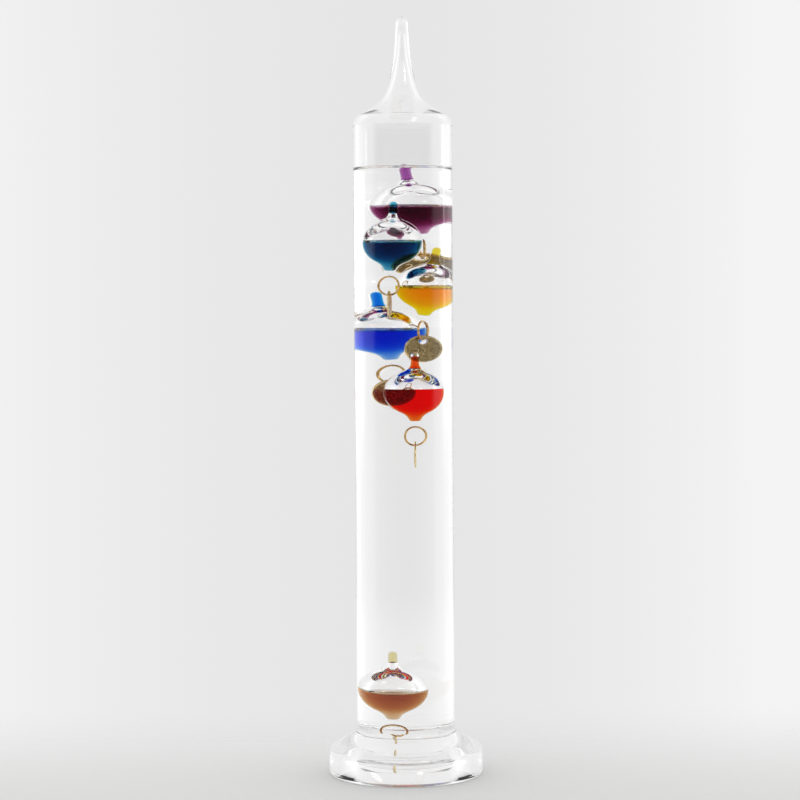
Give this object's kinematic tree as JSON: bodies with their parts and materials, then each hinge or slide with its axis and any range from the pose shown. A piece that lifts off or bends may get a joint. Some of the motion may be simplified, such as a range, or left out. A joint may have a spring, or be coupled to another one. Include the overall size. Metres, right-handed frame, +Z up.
{
  "type": "galileo thermometer",
  "caption": "Sealed liquid-filled glass column on a thick round foot, with coloured glass floats that carry rings and tags and rise or sink with temperature.",
  "frame": {"origin": "centre of the foot's underside, on the surface that it stands on", "axes": "+Z up along the tube's axis, front towards -Y, +X to the viewer's right"},
  "size_m": [0.0746, 0.0746, 0.3668],
  "materials": {
    "tube_glass": "clear, polished",
    "foot_glass": "clear, thick, fire polished",
    "float_glass": "clear, thin, blown",
    "clear_liquid": "clear liquid",
    "purple_dye": "coloured liquid",
    "teal_dye": "coloured liquid",
    "orange_dye": "coloured liquid",
    "blue_dye": "coloured liquid",
    "red_dye": "coloured liquid",
    "brown_dye": "coloured liquid",
    "ring_brass": "drawn wire, slightly aged",
    "tag_brass": "stamped, satin"
  },
  "bodies": {
    "vessel": {"glass_tube": "tube_glass", "glass_foot": "foot_glass", "fill_liquid": "clear_liquid"},
    "purple_float": {"purple_bulb": "float_glass", "purple_dye": "purple_dye", "purple_neck_dye": "purple_dye"},
    "purple_ring_link": {"purple_ring": "ring_brass"},
    "purple_tag_link": {"purple_tag": "tag_brass"},
    "teal_float": {"teal_bulb": "float_glass", "teal_dye": "teal_dye", "teal_neck_dye": "teal_dye"},
    "teal_ring_link": {"teal_ring": "ring_brass"},
    "teal_tag_link": {"teal_tag": "tag_brass"},
    "orange_float": {"orange_bulb": "float_glass", "orange_dye": "orange_dye", "orange_neck_dye": "orange_dye"},
    "orange_ring_link": {"orange_ring": "ring_brass"},
    "orange_tag_link": {"orange_tag": "tag_brass"},
    "blue_float": {"blue_bulb": "float_glass", "blue_dye": "blue_dye", "blue_neck_dye": "blue_dye"},
    "blue_ring_link": {"blue_ring": "ring_brass"},
    "blue_tag_link": {"blue_tag": "tag_brass"},
    "red_float": {"red_bulb": "float_glass", "red_dye": "red_dye", "red_neck_dye": "red_dye"},
    "red_ring_link": {"red_ring": "ring_brass"},
    "red_tag_link": {"red_tag": "tag_brass"},
    "brown_float": {"brown_bulb": "float_glass", "brown_dye": "brown_dye", "brown_neck_dye": "brown_dye"},
    "brown_ring_link": {"brown_ring": "ring_brass"},
    "brown_tag_link": {"brown_tag": "tag_brass"}
  },
  "joints": [
    {"name": "purple_rise", "type": "slide", "parent": "vessel", "child": "purple_float", "axis": [0, 0, 1], "range_m": [-0.0015, 0.002]},
    {"name": "purple_ring_swing", "type": "hinge", "parent": "purple_float", "child": "purple_ring_link", "pos_m": [0.00494, 0.0102, 0.2594], "axis": [-0.2756, 0.9613, 0], "range_deg": [-3, 18]},
    {"name": "purple_tag_swing", "type": "hinge", "parent": "purple_ring_link", "child": "purple_tag_link", "pos_m": [0.00422, 0.0127, 0.2514], "axis": [-0.223, 0.7777, 0.5878], "range_deg": [-4, 16]},
    {"name": "teal_rise", "type": "slide", "parent": "vessel", "child": "teal_float", "axis": [0, 0, 1], "range_m": [-0.0012, 0.001]},
    {"name": "teal_ring_swing", "type": "hinge", "parent": "teal_float", "child": "teal_ring_link", "pos_m": [-0.00517, -0.005, 0.24154], "axis": [0.7771, -0.6293, 0], "range_deg": [-15, 8]},
    {"name": "teal_tag_swing", "type": "hinge", "parent": "teal_ring_link", "child": "teal_tag_link", "pos_m": [-0.00517, -0.005, 0.2327], "axis": [0.9816, -0.1908, 0], "range_deg": [-15, 10]},
    {"name": "orange_rise", "type": "slide", "parent": "vessel", "child": "orange_float", "axis": [0, 0, 1], "range_m": [-0.001, 0.001]},
    {"name": "orange_ring_swing", "type": "hinge", "parent": "orange_float", "child": "orange_ring_link", "pos_m": [0.00599, 0.0015, 0.22002], "axis": [0.225, 0.9744, 0], "range_deg": [-6, 5]},
    {"name": "orange_tag_swing", "type": "hinge", "parent": "orange_ring_link", "child": "orange_tag_link", "pos_m": [0.00599, 0.0015, 0.21118], "axis": [0.4384, -0.8988, 0], "range_deg": [-10, 10]},
    {"name": "blue_rise", "type": "slide", "parent": "vessel", "child": "blue_float", "axis": [0, 0, 1], "range_m": [-0.001, 0.001]},
    {"name": "blue_ring_swing", "type": "hinge", "parent": "blue_float", "child": "blue_ring_link", "pos_m": [-0.00298, 0.0093, 0.19873], "axis": [0.766, -0.6428, 0], "range_deg": [-8, 15]},
    {"name": "blue_tag_swing", "type": "hinge", "parent": "blue_ring_link", "child": "blue_tag_link", "pos_m": [-0.00298, 0.0093, 0.18989], "axis": [0.3746, -0.9272, 0], "range_deg": [-15, 15]},
    {"name": "red_rise", "type": "slide", "parent": "vessel", "child": "red_float", "axis": [0, 0, 1], "range_m": [-0.08, 0.0015], "deforming": ["fill_liquid"]},
    {"name": "red_ring_swing", "type": "hinge", "parent": "red_float", "child": "red_ring_link", "pos_m": [0.0039, -0.0047, 0.16928], "axis": [0.8192, 0.5736, 0], "range_deg": [-20, 20]},
    {"name": "red_tag_swing", "type": "hinge", "parent": "red_ring_link", "child": "red_tag_link", "pos_m": [0.0039, -0.0047, 0.16044], "axis": [0.9962, 0.0872, 0], "range_deg": [-20, 20]},
    {"name": "brown_rise", "type": "slide", "parent": "vessel", "child": "brown_float", "axis": [0, 0, 1], "range_m": [0, 0.08]},
    {"name": "brown_ring_swing", "type": "hinge", "parent": "brown_float", "child": "brown_ring_link", "pos_m": [-0.00395, 0.00249, 0.02429], "axis": [1, 0, 0], "range_deg": [-20, 0]},
    {"name": "brown_tag_swing", "type": "hinge", "parent": "brown_ring_link", "child": "brown_tag_link", "pos_m": [-0.00395, -0.00418, 0.01849], "axis": [1, 0, 0], "range_deg": [-15, 15]}
  ]
}
